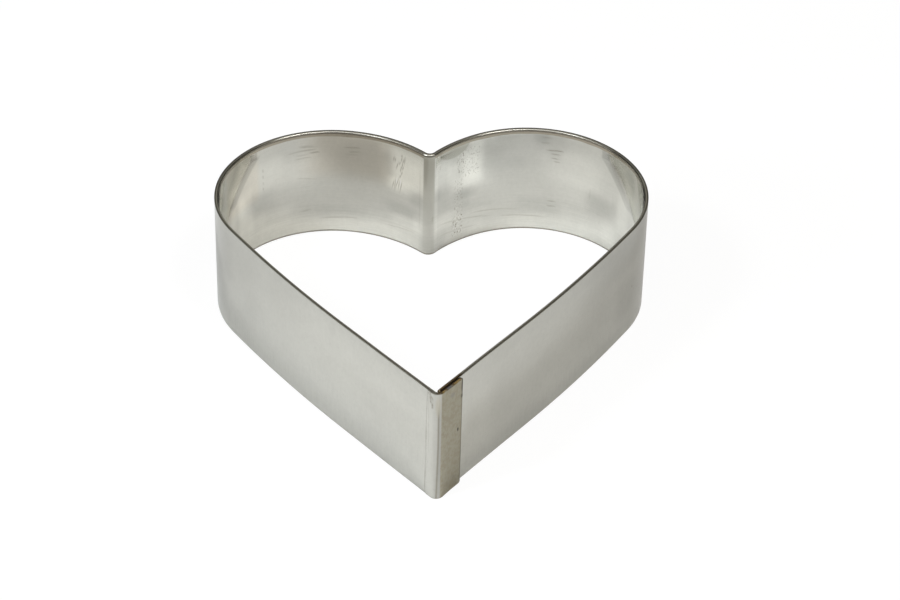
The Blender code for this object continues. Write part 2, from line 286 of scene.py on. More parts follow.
def strip_route():
    """Start, heading and runs of the middle line, from the flap's free end to the inner end.

    A run is (name, length, turn).
    """
    left_angle = math.radians(LEFT_ARM_ANGLE)
    right_angle = math.radians(RIGHT_ARM_ANGLE)
    left_arcs = ((LEFT_FLANK_RADIUS, math.radians(LEFT_FLANK_TURN)),
                 (LEFT_LOBE_RADIUS, math.radians(LEFT_LOBE_TURN)))
    right_arcs = ((RIGHT_FLANK_RADIUS, math.radians(RIGHT_FLANK_TURN)),
                  (RIGHT_LOBE_RADIUS, math.radians(RIGHT_LOBE_TURN)))
    left_way = cmath.exp(1j * (math.pi / 2 + left_angle))
    right_way = cmath.exp(1j * (math.pi / 2 - right_angle))
    beyond = (SHEET + LAP_GAP) / math.sin(left_angle + right_angle)
    corner = -left_way * beyond
    tip_turn = math.pi - left_angle - right_angle
    tangent = TIP_BEND_RADIUS * math.tan(tip_turn / 2)
    left_point, left_centre, left_radius = lobe_end(-1, left_angle, LEFT_ARM_LENGTH, left_arcs)
    right_point, right_centre, right_radius = lobe_end(1, right_angle, RIGHT_ARM_LENGTH, right_arcs)
    left_span = left_radius + NOTCH_BEND_RADIUS
    right_span = right_radius + NOTCH_BEND_RADIUS
    between = right_centre - left_centre
    foot = (abs(between) ** 2 + left_span ** 2 - right_span ** 2) / (2 * abs(between))
    rise = math.sqrt(left_span ** 2 - foot ** 2)
    bend_centre = left_centre + between / abs(between) * (foot + 1j * rise)
    left_touch = left_centre + (bend_centre - left_centre) * left_radius / left_span
    right_touch = right_centre + (bend_centre - right_centre) * right_radius / right_span
    left_turn = cmath.phase((left_touch - left_centre) / (left_point - left_centre))
    bend_turn = cmath.phase((right_touch - bend_centre) / (left_touch - bend_centre))
    right_turn = cmath.phase((right_point - right_centre) / (right_touch - right_centre))
    inner_end = dot(corner, right_way) + tangent - INNER_END_REACH
    runs = [("flap", FLAP_LENGTH - tangent, 0.0),
            ("tip", TIP_BEND_RADIUS * tip_turn, -tip_turn),
            ("left_arm", LEFT_ARM_LENGTH + beyond - tangent, 0.0)]
    runs += [(name, radius * turn, -turn) for name, (radius, turn) in
             zip(("left_flank", "left_lobe"), left_arcs)]
    runs += [("left_crown", left_radius * abs(left_turn), left_turn),
             ("notch", NOTCH_BEND_RADIUS * abs(bend_turn), bend_turn),
             ("right_crown", right_radius * abs(right_turn), right_turn)]
    runs += [(name, radius * turn, -turn) for name, (radius, turn) in
             zip(("right_lobe", "right_flank"), right_arcs[::-1])]
    runs += [("right_arm", RIGHT_ARM_LENGTH - inner_end, 0.0)]
    return corner + right_way * FLAP_LENGTH, -right_way, runs


START, START_HEADING, RUNS = strip_route()
RUN_STARTS = np.cumsum([0.0] + [length for name, length, turn in RUNS])
STRIP_LENGTH = RUN_STARTS[-1]
RUN_START = {run[0]: start for run, start in zip(RUNS, RUN_STARTS)}


def middle_line(s):
    """Plan points and headings of the middle line at an array of distances along the strip."""
    points, headings = [START], [START_HEADING]
    for name, length, turn in RUNS:
        point, heading = walk(points[-1], headings[-1], length, turn)
        points.append(point)
        headings.append(heading)
    run = np.clip(np.searchsorted(RUN_STARTS, s, side="right") - 1, 0, len(RUNS) - 1)
    lengths = np.array([length for name, length, turn in RUNS])[run]
    turns = np.array([turn for name, length, turn in RUNS])[run]
    part = (s - RUN_STARTS[run]) / lengths
    half = turns * part / 2
    reach = lengths * part * np.sinc(half / np.pi)
    start_heading = np.array(headings)[run]
    return (np.array(points)[run] + reach * start_heading * np.exp(1j * half),
            start_heading * np.exp(2j * half))


def column_places():
    """Distances along the strip of the mesh's columns, close together where it bends or is marked."""
    notch = RUN_START["notch"]
    fine = [(0.0, 0.0, END_COLUMNS), (STRIP_LENGTH, STRIP_LENGTH, END_COLUMNS),
            (0.0, FLAP_FACE_END, MARK_COLUMNS),
            (STRIP_LENGTH - FLAP_LENGTH, STRIP_LENGTH, MARK_COLUMNS),
            (FLAP_FACE_END, RUN_START["left_arm"] + 1.5 * MM, BEND_COLUMNS),
            (CREASE_AT - 0.2 * MM, CREASE_AT + 0.5 * MM, LINE_COLUMNS),
            (DIE_LINE_AT - 0.4 * MM, DIE_LINE_AT + 0.9 * MM, LINE_COLUMNS),
            (RUN_START["left_lobe"], RUN_START["right_flank"], LOBE_COLUMNS),
            (notch - 0.5 * MM, RUN_START["right_crown"] + 1.0 * MM, BEND_COLUMNS)]
    fine += [(low * MM, high * MM, MARK_COLUMNS) for low, high in MARKED_STRETCHES]
    s = np.linspace(0.0, STRIP_LENGTH, ROUTE_SAMPLES)
    spacing = np.full_like(s, COARSEST_COLUMNS)
    for low, high, step in fine:
        away = np.maximum(np.maximum(low - s, s - high), 0.0)
        spacing = np.minimum(spacing, step + COLUMN_GROWTH * away)
    count = np.concatenate(([0.0], np.cumsum((s[1:] - s[:-1]) * 2 / (spacing[1:] + spacing[:-1]))))
    return np.interp(np.linspace(0.0, count[-1], int(count[-1]) + 1), count, s)


def edge_arcs(bands):
    """Points of a rounded edge as (inset from the face, drop below the rim), from the face up."""
    inset, rise, tilt = 0.0, 0.0, 0.0
    points = [(inset, rise)]
    for end_tilt, radius in bands:
        steps = max(1, round((end_tilt - tilt) / TILT_STEP))
        for i in range(1, steps + 1):
            a = math.radians(tilt + (end_tilt - tilt) * (i - 1) / steps)
            b = math.radians(tilt + (end_tilt - tilt) * i / steps)
            inset += radius * (math.cos(a) - math.cos(b))
            rise += radius * (math.sin(b) - math.sin(a))
            points.append((inset, rise))
        tilt = end_tilt
    top = points[-1][1]
    return [(inset, top - rise) for inset, rise in points]


def section():
    """The strip's cross-section as a closed loop of (o, z), up the outer face and down the inner."""
    half = SHEET / 2
    top_outer = [(half - i, STRIP_HEIGHT - d) for i, d in edge_arcs(OUTER_EDGE)]
    top_inner = [(-half + i, STRIP_HEIGHT - d) for i, d in edge_arcs(TOP_INNER_EDGE)]
    low_outer = [(half - i, d) for i, d in edge_arcs(OUTER_EDGE)]
    low_inner = [(-half + i, d) for i, d in edge_arcs(BOTTOM_INNER_EDGE)]

    def between(start, end):
        steps = round(abs(end[1] - start[1]) / ROW_SPACING)
        return [(start[0], start[1] + (end[1] - start[1]) * i / steps) for i in range(1, steps)]

    outer_face = between(low_outer[0], top_outer[0])
    inner_face = between(top_inner[0], low_inner[0])
    return (low_outer[::-1] + outer_face + top_outer + top_inner[::-1] + inner_face + low_inner)


def rounding(from_end, radius):
    """How far a rounded corner stands back at a distance from the end."""
    return radius - math.sqrt(max(0.0, radius ** 2 - max(0.0, radius - from_end) ** 2))


def flat_strip():
    """The strip before it is bent, as bmesh, with rounded corners and edges at its two ends."""
    loop = section()
    middle = STRIP_HEIGHT / 2
    rings = []
    shape = bmesh.new()
    for s in column_places():
        from_end = min(s, STRIP_LENGTH - s)
        top = 1 - rounding(from_end, TOP_CORNER_RADIUS) / middle
        bottom = 1 - rounding(from_end, BOTTOM_CORNER_RADIUS) / middle
        width = 1 - rounding(from_end, END_ROUNDING) / (SHEET / 2)
        ring = [(s, o * width, middle + (z - middle) * (top if z > middle else bottom)) for o, z in loop]
        rings.append([shape.verts.new(place) for place in ring])
    for ring, following in zip(rings, rings[1:]):
        for i in range(len(loop)):
            shape.faces.new((ring[i - 1], following[i - 1], following[i], ring[i]))
    shape.faces.new(rings[0])
    shape.faces.new(rings[-1][::-1])
    return shape


def refine(shape, low, high, side, cuts, rows_only):
    """Cuts the faces in a box of flat places, on one side of the sheet, into smaller ones."""
    (low_s, low_z), (high_s, high_z) = (np.array(low) * MM, np.array(high) * MM)
    edges = set()
    for face in shape.faces:
        s, o, z = face.calc_center_median()
        if low_s < s < high_s and low_z < z < high_z and o * side > 0:
            edges.update(face.edges)
    if rows_only:
        edges = {edge for edge in edges if abs(edge.verts[0].co.x - edge.verts[1].co.x) < 0.001 * MM}
    bmesh.ops.subdivide_edges(shape, edges=list(edges), cuts=cuts, use_grid_fill=True)


def smooth_step(x, low, high):
    """0 at low, 1 at high and smooth between. Low may be the larger one."""
    t = np.clip((x - low) / (high - low), 0.0, 1.0)
    return t * t * (3 - 2 * t)


def waves(s, z, lengths, seed):
    """Smooth noise between -1 and 1 at each place, with its own wavelength along s and z."""
    return np.array([noise.noise(Vector((a, b, seed)))
                     for a, b in zip(s / lengths[0], z / lengths[1])])


def dent(s, z, at, radii, tilt):
    """1 in the middle of an elliptical dent and 0 away from it. Tilt turns its long way, in radians."""
    across, along = s - at[0], z - at[1]
    u = (across * math.cos(tilt) + along * math.sin(tilt)) / radii[0]
    v = (along * math.cos(tilt) - across * math.sin(tilt)) / radii[1]
    return np.exp(-(u * u + v * v))


def line_dent(s, z, points, width):
    """1 on a line through (s, z) points and 0 away from it."""
    nearest = np.full_like(s, 1.0)
    for (s0, z0), (s1, z1) in zip(points, points[1:]):
        run = np.array((s1 - s0, z1 - z0))
        part = np.clip(((s - s0) * run[0] + (z - z0) * run[1]) / (run @ run), 0.0, 1.0)
        nearest = np.minimum(nearest, np.hypot(s - s0 - part * run[0], z - z0 - part * run[1]))
    return np.exp(-(nearest / width) ** 2)


def drawn_lines(s, z, lines):
    """The strongest of some lines at each place, from 0 to 1."""
    found = np.zeros_like(s)
    for points, width, strength in lines:
        found = np.maximum(found, strength * line_dent(s, z, np.array(points) * MM, width * MM))
    return found


def blotches(s, z, middle, variation, lengths, seed):
    """An uneven strength, up to 1."""
    return np.clip(middle + variation * waves(s, z, lengths, seed), FAINTEST_BLOTCH, 1.0)


def scratches(s, z):
    """The scratches inside the lobes, from 0 to 1. Each runs out thin at its ends."""
    found = np.zeros_like(s)
    for *ends, strength in SCRATCHES:
        s0, z0, s1, z1 = np.array(ends) * MM
        run = np.array((s1 - s0, z1 - z0))
        part = ((s - s0) * run[0] + (z - z0) * run[1]) / (run @ run)
        away = np.hypot(s - s0 - part * run[0], z - z0 - part * run[1])
        body = np.clip(1 - (2 * part - 1) ** 4, 0.0, 1.0) * (np.abs(part - 0.5) < 0.5)
        found = np.maximum(found, strength * body * np.exp(-(away / SCRATCH_WIDTH) ** 2))
    return found


def patches_of_light_and_shade(s, z, patches):
    """Brightness of a face from painted reflections and shade, where 1 is plain steel. A high power gives a
    patch a sharper border.

    A patch with a seventh number leans by so much of s for each step of z.
    """
    found = np.ones_like(s)
    for middle_s, middle_z, half_s, half_z, change, power, *lean in patches:
        v = (z / MM - middle_z) / half_z
        u = (s / MM - middle_s - sum(lean) * (z / MM - middle_z)) / half_s
        found += change * np.exp(-(u ** power + v ** power))
    return found


def jaw_strokes(s, z):
    """Short steep strokes of the bending tool, from 0 to 1."""
    found = np.zeros_like(s)
    for i, (middle_s, middle_z, half_length) in enumerate(JAW_STROKES):
        tilt = JAW_STROKE_TILT + JAW_STROKE_SWAY * math.sin(JAW_STROKE_PHASE * i)
        stroke = dent(s, z, (middle_s * MM, middle_z * MM), (half_length * MM, JAW_STROKE_WIDTH), tilt)
        found = np.maximum(found, stroke)
    return found


def tip_lines(s, z):
    """Lines that the folding tool left at the tip, from 0 to 1."""
    die_lines = blotches(s, z, *DIE_LINE_BLOTCHES) * drawn_lines(s, z, DIE_LINES)
    crease = smooth_step(z, *CREASE_FADES_IN) * drawn_lines(s, z, CREASES)
    cracks = blotches(s, z, *CRACK_BLOTCHES) * drawn_lines(s, z, CRACKS)
    return np.maximum(np.maximum(die_lines, crease), cracks)


def sheet_shift(s, z):
    """How far the whole sheet stands outward of the plan at each place."""
    gentle = sum((waves(s, z, lengths, seed) - 1) * height for lengths, height, seed in SHEET_WAVES)
    gentle *= 1 - smooth_step(s, *FLAT_NEAR_ENDS) - smooth_step(STRIP_LENGTH - s, *FLAT_NEAR_ENDS)
    lean = FLAP_LEAN_BOTTOM + (FLAP_LEAN_TOP - FLAP_LEAN_BOTTOM) * z / STRIP_HEIGHT
    gentle += lean * smooth_step(s, RUN_START["tip"], RUN_START["tip"] - FLAP_LEAN_OVER)
    beside_die = smooth_step(s, DIE_LINE_AT - DIE_STEP_HALF_WIDTH, DIE_LINE_AT + DIE_STEP_HALF_WIDTH)
    gentle -= DIE_STEP_DEPTH * beside_die * smooth_step(s, DIE_LINE_AT + DIE_STEP_FADE, DIE_LINE_AT)
    gentle -= TIP_PULLED_IN * smooth_step(s, *TIP_PULL_STARTS) * smooth_step(s, *TIP_PULL_ENDS)
    return gentle


def outer_marks(s, z):
    """Marks in the outer face only, plus outward."""
    shift = -TIP_LINE_DEPTH * tip_lines(s, z)
    for at, radii, tilt, height in OUTER_DENTS:
        shift += height * MM * dent(s, z, np.array(at) * MM, np.array(radii) * MM, tilt)
    return shift


def inner_marks(s, z):
    """Marks of the tools in the inner face, plus outward."""
    return SCRATCH_DEPTH * scratches(s, z) + JAW_STROKE_DEPTH * jaw_strokes(s, z)


def faces_of(places):
    """1 for the places on the outer face and 1 for those on the inner face, as two arrays."""
    across = places[:, 1] / SHEET
    return (across > ON_A_FACE) * 1.0, (across < -ON_A_FACE) * 1.0


def bend(places):
    """World places of flat places, with the sheet's shape and the marks in its two faces."""
    s, o, z = places.T
    outer, inner = faces_of(places)
    away = o + sheet_shift(s, z) + outer * outer_marks(s, z) + inner * inner_marks(s, z)
    thinner = LEFT_RIM_THINNER * smooth_step(s, *LEFT_THIN_STARTS) * smooth_step(s, *LEFT_THIN_ENDS)
    thinner += RIGHT_RIM_THINNER * smooth_step(s, *RIGHT_THIN_STARTS)
    away += thinner * smooth_step(z, *THINNED_ROWS) * (0.5 - o / SHEET)
    points, headings = middle_line(s - FLAP_LONGER * smooth_step(s, FLAP_LONGER_OVER, 0.0))
    points = points + 1j * headings * away
    return np.column_stack((points.real, points.imag, z))


def plan_to_part():
    """Shift from the plan's datum corner to the part's origin."""
    s = np.linspace(0.0, STRIP_LENGTH, OUTLINE_SAMPLES)
    points, headings = middle_line(s)
    edges = np.concatenate((points + 1j * headings * SHEET / 2, points - 1j * headings * SHEET / 2))
    low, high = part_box("heart_band")
    return np.array(((low.x + high.x - edges.real.min() - edges.real.max()) / 2,
                     (low.y + high.y - edges.imag.min() - edges.imag.max()) / 2, 0.0))


PLAN_TO_PART = plan_to_part()


def make_strip(material):
    """The bent strip, which stands for the plain band."""
    shape = flat_strip()
    for zone in FINER_ZONES:
        refine(shape, *zone)
    mesh = bpy.data.meshes.new("bent_strip")
    shape.to_mesh(mesh)
    shape.free()
    places = np.empty(len(mesh.vertices) * 3)
    mesh.vertices.foreach_get("co", places)
    flat = mesh.attributes.new("strip", "FLOAT_VECTOR", "POINT")
    flat.data.foreach_set("vector", places)
    places = places.reshape(-1, 3)
    outer, inner = faces_of(places)
    s, o, z = places.T
    inner_soil = np.maximum(scratches(s, z), JAW_STROKE_SOIL * jaw_strokes(s, z))
    # Darker marks: scratches, jaw strokes and tool lines, with painted shade in the crease and cracks
    marks_and_crease_shade = outer * tip_lines(s, z) + inner * inner_soil
    mesh.attributes.new("marks_and_crease_shade", "FLOAT", "POINT").data.foreach_set("value", marks_and_crease_shade)
    # Painted reflections and shade: patches painted brighter or duller on each face
    painted_light_and_shade = outer * patches_of_light_and_shade(s, z, OUTER_LIGHT_AND_SHADE_PATCHES) + (1 - outer) * patches_of_light_and_shade(s, z, LOBE_LIGHT_AND_SHADE_PATCHES)
    mesh.attributes.new("painted_light_and_shade", "FLOAT", "POINT").data.foreach_set("value", painted_light_and_shade)
    mesh.vertices.foreach_set("co", (bend(places) + PLAN_TO_PART).ravel())
    mesh.shade_smooth()
    mesh.materials.append(material)
    strip = bpy.data.objects.new("bent_strip", mesh)
    bpy.context.scene.collection.objects.link(strip)
    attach(strip, "root")
    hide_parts("heart_band")


class Paint:
    """A material's node tree, with a short method for each kind of step."""

    def __init__(self, name):
        self.material = bpy.data.materials.new(name)
        self.material.use_nodes = True
        self.tree = self.material.node_tree
        self.shader = self.tree.nodes["Principled BSDF"]

    def put(self, socket, value):
        """Joins a socket to another one, or gives it a plain value."""
        if isinstance(value, bpy.types.NodeSocket):
            self.tree.links.new(value, socket)
        else:
            socket.default_value = value

    def add(self, kind, inputs=None, **settings):
        """A node with its settings and inputs."""
        node = self.tree.nodes.new(kind)
        for key, value in settings.items():
            setattr(node, key, value)
        for key, value in (inputs or {}).items():
            self.put(node.inputs[key], value)
        return node

    def finish(self, values):
        """Gives the shader's sockets their values."""
        for name, value in values.items():
            self.put(self.shader.inputs[name], value)

    def math(self, operation, *values):
        """One arithmetic step on numbers."""
        return self.add("ShaderNodeMath", dict(enumerate(values)), operation=operation).outputs[0]

    def times(self, first, *others):
        """A product of numbers."""
        for other in others:
            first = self.math("MULTIPLY", first, other)
        return first

    def step(self, value, low, high, from_value=0.0, to_value=1.0):
        """A smooth change from one value at low to another at high."""
        ends = {"Value": value, "From Min": low, "From Max": high, "To Min": from_value, "To Max": to_value}
        return self.add("ShaderNodeMapRange", ends, interpolation_type="SMOOTHSTEP").outputs["Result"]

    def window(self, value, low, high, soft):
        """1 between low and high, 0 outside, with soft borders outside them."""
        return self.times(self.step(value, low - soft, low), self.step(value, high + soft, high))

    def windows(self, value, zones):
        """The sum of several windows."""
        first, *others = (self.window(value, *zone) for zone in zones)
        for other in others:
            first = self.math("ADD", first, other)
        return first

    def stretch(self, vector, scales):
        """A vector times a scale for each axis."""
        return self.add("ShaderNodeVectorMath", {0: vector, 1: scales}, operation="MULTIPLY").outputs[0]

    def noise(self, vector, scales, detail, distortion=0.0):
        """Noise from about 0 to 1, with scales in waves per unit."""
        inputs = {"Vector": self.stretch(vector, scales), "Scale": 1.0, "Detail": detail,
                  "Distortion": distortion}
        return self.add("ShaderNodeTexNoise", inputs).outputs["Fac"]

    def mix(self, factor, first, second, blend="MIX"):
        """A blend of two colours."""
        node = self.add("ShaderNodeMix", data_type="RGBA", blend_type=blend)
        for socket, value in zip((node.inputs[0], node.inputs[6], node.inputs[7]), (factor, first, second)):
            self.put(socket, value)
        return node.outputs[2]

    def cover(self, factor, under, colour, share=1.0):
        """A colour laid over another one where the factor says so, by a share of it."""
        return self.mix(factor if share == 1.0 else self.times(factor, share), under, colour)

    def bump(self, height, distance):
        """A bumped normal, from a height that counts for a distance in metres."""
        inputs = {"Height": height, "Distance": distance, "Strength": 1.0}
        return self.add("ShaderNodeBump", inputs).outputs[0]


# Colours of the steel, of its marks, and of its painted shade and glints
STEEL = (0.625, 0.625, 0.586, 1.0)
ROLLED_STEEL = (0.40, 0.365, 0.30, 1.0)
EDGE_STEEL = (0.35, 0.335, 0.285, 1.0)
# Painted shade along the outer top edge and the flap's free end
EDGE_SHADE = (0.20, 0.19, 0.155, 1.0)
# Painted contact shade along the bottom edge
LOW_EDGE_SHADE = (0.27, 0.25, 0.205, 1.0)
# Painted shadow under the burr
BURR_SHADOW = (0.16, 0.145, 0.12, 1.0)
BURR = (0.64, 0.63, 0.58, 1.0)
# Painted glints of the dented zone
PAINTED_GLINT = (0.86, 0.85, 0.80, 1.0)
# Painted shade on the burr
SHADED_BURR = (0.185, 0.175, 0.15, 1.0)
# Painted shade in the lap's gap
GAP_SHADE = (0.06, 0.04, 0.022, 1.0)
BEND_STEEL = (0.467, 0.459, 0.404, 1.0)
# Colour of the marks, also used as painted shade in the crease and cracks
MARK_AND_CREASE_SHADE = (0.30, 0.28, 0.235, 1.0)
FLAP_STEEL = (0.385, 0.365, 0.29, 1.0)
FLAP_STAIN = (0.345, 0.315, 0.24, 1.0)
BURNT = (0.16, 0.12, 0.07, 1.0)
OCHRE = (0.42, 0.30, 0.12, 1.0)
BURN_BLUE = (0.22, 0.24, 0.27, 1.0)
# Colour of the weld pit, also used for painted shadow at the flap's free end
PIT_AND_END_SHADOW = (0.05, 0.045, 0.04, 1.0)
WARM_STAIN = (0.55, 0.51, 0.41, 1.0)
# Painted shade on the rim
RIM_SHADE = (0.09, 0.085, 0.07, 1.0)
PRESSED_STEEL = (0.50, 0.495, 0.445, 1.0)
WARM_TINT = (1.03, 0.995, 0.955, 1.0)
# Spots on the outer face: middle (s, z), half sizes, strength and colour. The first three are welds
# The fifth and sixth are painted shadow at the flap's free end
SPOTS = (((5.3, 41.2), (1.2, 1.0), 0.3, BURN_BLUE), ((2.0, 24.5), (0.32, 0.85), 1.0, PIT_AND_END_SHADOW),
         ((3.8, 5.0), (0.8, 0.8), 0.55, MARK_AND_CREASE_SHADE), ((385.8, 19.1), (0.4, 0.5), 0.5, MARK_AND_CREASE_SHADE),
         ((0.5, 38.0), (0.5, 0.9), 0.6, PIT_AND_END_SHADOW), ((0.3, 42.2), (0.5, 3.2), 0.8, PIT_AND_END_SHADOW),
         ((11.5, 39.5), (0.75, 4.0), 0.5, WARM_STAIN))
# The lens-shaped print under the rim to the right of the notch: middle (s, z) and half sizes
LENS_PRINT = ((268.0, 44.8), (7.8, 6.0))
# Zones of fine dots to the right of the notch, the pale ones painted glints: s, z, soft border and strength
SPECKLED_ZONES = (((270.3, 272.6), (31.0, 40.5), 0.8, 1.0), ((273.0, 279.0), (29.0, 40.0), 1.5, 0.5),
                  ((269.2, 272.2), (13.0, 29.0), 1.0, 0.5), ((268.4, 272.6), (3.2, 12.0), 0.8, 0.9))

# Patterns: waves per millimetre along the strip, across the sheet and up, then detail and distortion
UPRIGHT_GRAIN = ((5.0, 5.0, 0.10), 4.0)
LEVEL_GRAIN = ((0.08, 3.0, 3.0), 4.0)
CLOUDS = ((0.06, 0.3, 0.09), 3.0, 0.6)
MOTTLE = ((0.9, 0.9, 0.8), 3.0)
FINE_SPECKS = ((3.0, 3.0, 3.0), 2.0)
TOOL_SPECKS = ((1.7, 1.7, 1.0), 2.0, 0.4)
ROLLED_BORDER = ((0.12, 0.5, 0.5), 2.0)
BURN_BORDER = ((0.5, 0.5, 0.4), 3.0)
WELD_TINT = ((0.9, 0.9, 0.9), 3.0, 0.5)
WELD_LUMPS = ((4.0, 4.0, 4.0), 2.0)
# How much they change the brightness, and how high they stand, in metres
GRAIN_TONE = 0.13
CLOUD_TONE = 0.10
MOTTLE_TONE = 0.12
GRAIN_HEIGHT = 0.0000006
SPECK_HEIGHT_SHARE = 0.3
WELD_LUMP_HEIGHT = 0.00004

# Zones of the finish, in millimetres. Two numbers are where a change starts and ends. Three are the
# zone's two borders and how soft they are. Four are a change's start and end and its two values
FACE_SPLIT = (-0.1, 0.1)
LOW_GRAIN_ROWS = (20.0, 9.0, GRAIN_TONE, 2.3 * GRAIN_TONE)
WARM_LOBE = ((200.0, 214.0), (243.0, 235.0))
WARM_LOBE_ROWS = (30.0, 43.0, 8.0)
WARM_FAR_END = (168.0, 185.0, 3.0)
WARM_FAR_END_ROWS = (24.0, 44.0, 5.0)
ROLLED_ROWS = (43.15, 43.45)
ROLLED_BORDER_WANDER = 0.7
BEND_STRIP = (255.0, 258.2, 0.4)
BEND_STRIP_ROWS = (8.0, 44.0, 0.2, 1.0)
BURR_SHADOW_ROWS = (44.1, 44.4, 0.25)
BURR_ROWS = (44.6, 44.75)
UNSHADED_BURR = ((199.0, 232.5, 8.0), (283.0, 314.0, 8.0), (255.2, 257.6, 0.8))
CUT_ROWS = (44.95, 44.995)
TOP_EDGE_SHADE_FROM_ROW = (10.0, 14.0, 44.75, 44.35)
TOP_EDGE_SHADE_TO_ROW = 44.85
SHADED_RIM = ((160.0, 184.0, 6.0), (335.0, 350.0, 4.0))
SHADED_ROWS = (44.3, 44.6, 0.0, 0.4)
SHADED_SIDE = (0.2, -0.15)
FLAP_FACE = (10.9, 10.3)
FLAP_END_SHADOW = (0.75, 0.25)
LAP_AT_START = (13.0, 10.5)
LAP_AT_END = (490.5, 492.5)
BURN_ENDS = 44.95
GOLDEN_BURN = ((1.3, 3.8, 0.6), (8.8, 9.8, 0.6))
BLUED_BURN = (5.4, 7.4, 0.6)
LAP_SIDE = (100.0, 300.0, -1.0, 1.0)
GAP_SHADE_SIDE = (0.0, 0.35)
# The same on the inner and then on the outer face, and shares there
LOW_EDGE_STARTS = (1.0, 0.5)
LOW_EDGE_ENDS = (0.5, 0.2)
LOW_EDGE_SHARE = (0.9, 0.5)
BURN_STARTS = (43.9, 44.65)
UPRIGHT_SHARE = (0.2, 0.8)
# Where a change starts and ends in a pattern's values, or in distances from an oval's middle
GLINT_SPECKS = (0.45, 0.34)
DARK_SPECKS = (0.54, 0.66)
FLAP_STAINS = (0.35, 0.65)
BURNT_PARTS = (0.25, 0.5)
OCHRE_PARTS = (0.5, 0.66)
WELD_BLUED = (0.35, 0.5)
WELD_GOLDEN = (0.58, 0.68)
LENS_BORDER = (1.03, 0.95)
SPOT_BORDER = (1.4, 0.5)

# How strongly some colours cover the steel
PAINTED_GLINT_SHARE = 0.42
MARK_AND_CREASE_SHADE_SHARE = 0.9
BURR_SHADOW_SHARE = 0.8
GOLDEN_SHARE = 0.8
BLUED_SHARE = 0.7
FLAP_END_SHADOW_SHARE = 0.8

# Roughness of plain steel and what some zones add, and of the welds across their tint
PLAIN_ROUGHNESS = 0.07
CLOUDS_ROUGHER = 0.05
SPECKS_ROUGHER = 0.02
FLAP_ROUGHER = 0.22
ROLLED_ROUGHER = 0.05
BURR_ROUGHER = 0.23
LOW_EDGE_ROUGHER = 0.2
EDGES_ROUGHER = 0.45
WELD_ROUGHNESS = (0.3, 0.7, 0.35, 0.6)


class StripPaint(Paint):
    """A material that knows the flat place on the strip, in millimetres, and its patterns."""

    def __init__(self, name):
        super().__init__(name)
        flat = self.add("ShaderNodeAttribute", attribute_name="strip").outputs["Vector"]
        self.place = self.stretch(flat, PER_MM)
        self.s, self.o, self.z = self.add("ShaderNodeSeparateXYZ", {0: self.place}).outputs
        self.outer = self.step(self.o, *FACE_SPLIT)
        self.inner = self.math("SUBTRACT", 1.0, self.outer)
        self.cloud = self.noise(self.place, *CLOUDS)
        self.mottle = self.noise(self.place, *MOTTLE)
        self.speck = self.noise(self.place, *FINE_SPECKS)
        upright = self.noise(self.place, *UPRIGHT_GRAIN)
        level = self.noise(self.place, *LEVEL_GRAIN)
        share = self.by_face(*UPRIGHT_SHARE)
        self.grain = self.add("ShaderNodeMix", {0: share, 2: level, 3: upright}).outputs[0]

    def by_face(self, inside, outside):
        """A number with one value on the inner face and another on the outer one."""
        return self.math("MULTIPLY_ADD", self.outer, outside - inside, inside)

    def oval(self, at, radii):
        """Distance from the middle of an oval, as a multiple of its half sizes."""
        across = self.math("DIVIDE", self.math("SUBTRACT", self.s, at[0]), radii[0])
        along = self.math("DIVIDE", self.math("SUBTRACT", self.z, at[1]), radii[1])
        squares = self.math("ADD", self.math("POWER", across, 2.0), self.math("POWER", along, 2.0))
        return self.math("SQRT", squares)


def plain_finish(paint):
    """Rolled sheet with grain, clouds and mottling, and patches of painted reflections and shade."""
    grain_tone = paint.step(paint.z, *LOW_GRAIN_ROWS)
    tone = paint.math("MULTIPLY_ADD", paint.math("SUBTRACT", paint.grain, 0.5), grain_tone,
                      1.0 - (CLOUD_TONE + MOTTLE_TONE) / 2)
    tone = paint.math("MULTIPLY_ADD", paint.cloud, CLOUD_TONE, tone)
    tone = paint.math("MULTIPLY_ADD", paint.mottle, MOTTLE_TONE, tone)
    # Painted reflections and shade from the patches
    tone = paint.times(tone, paint.add("ShaderNodeAttribute", attribute_name="painted_light_and_shade").outputs["Fac"])
    grey = paint.add("ShaderNodeCombineColor", {0: tone, 1: tone, 2: tone}).outputs[0]
    return paint.mix(1.0, STEEL, grey, "MULTIPLY")


def tool_marks(paint, steel):
    """Warm zones, painted glints and dark specks, darker scratches and tool lines with painted shade in the
    crease and cracks, and the lens-shaped print.
    """
    s, z, inner = paint.s, paint.z, paint.inner
    rise, fall = WARM_LOBE
    warmer = paint.times(paint.step(s, *rise), paint.step(s, *fall), paint.window(z, *WARM_LOBE_ROWS))
    far_end = paint.times(paint.window(s, *WARM_FAR_END), paint.window(z, *WARM_FAR_END_ROWS))
    warmer = paint.math("MAXIMUM", warmer, far_end)
    steel = paint.mix(paint.times(inner, warmer), steel, WARM_TINT, "MULTIPLY")
    specks = paint.noise(paint.place, *TOOL_SPECKS)
    speckled = 0.0
    for along, up, soft, strength in SPECKLED_ZONES:
        zone = paint.times(paint.window(s, *along, soft), paint.window(z, *up, soft), strength)
        speckled = paint.math("MAXIMUM", speckled, zone)
    speckled = paint.times(inner, speckled)
    # Painted glints: pale dots standing in for the glints of the dented zone
    glints = paint.times(speckled, paint.step(specks, *GLINT_SPECKS))
    steel = paint.cover(glints, steel, PAINTED_GLINT, PAINTED_GLINT_SHARE)
    steel = paint.cover(paint.times(speckled, paint.step(specks, *DARK_SPECKS)), steel, MARK_AND_CREASE_SHADE)
    # Marks painted darker, with painted shade in the crease and cracks
    marks_and_crease_shade = paint.add("ShaderNodeAttribute", attribute_name="marks_and_crease_shade").outputs["Fac"]
    steel = paint.cover(marks_and_crease_shade, steel, MARK_AND_CREASE_SHADE, MARK_AND_CREASE_SHADE_SHARE)
    lens = paint.step(paint.oval(*LENS_PRINT), *LENS_BORDER)
    return paint.cover(paint.times(inner, lens), steel, PRESSED_STEEL)


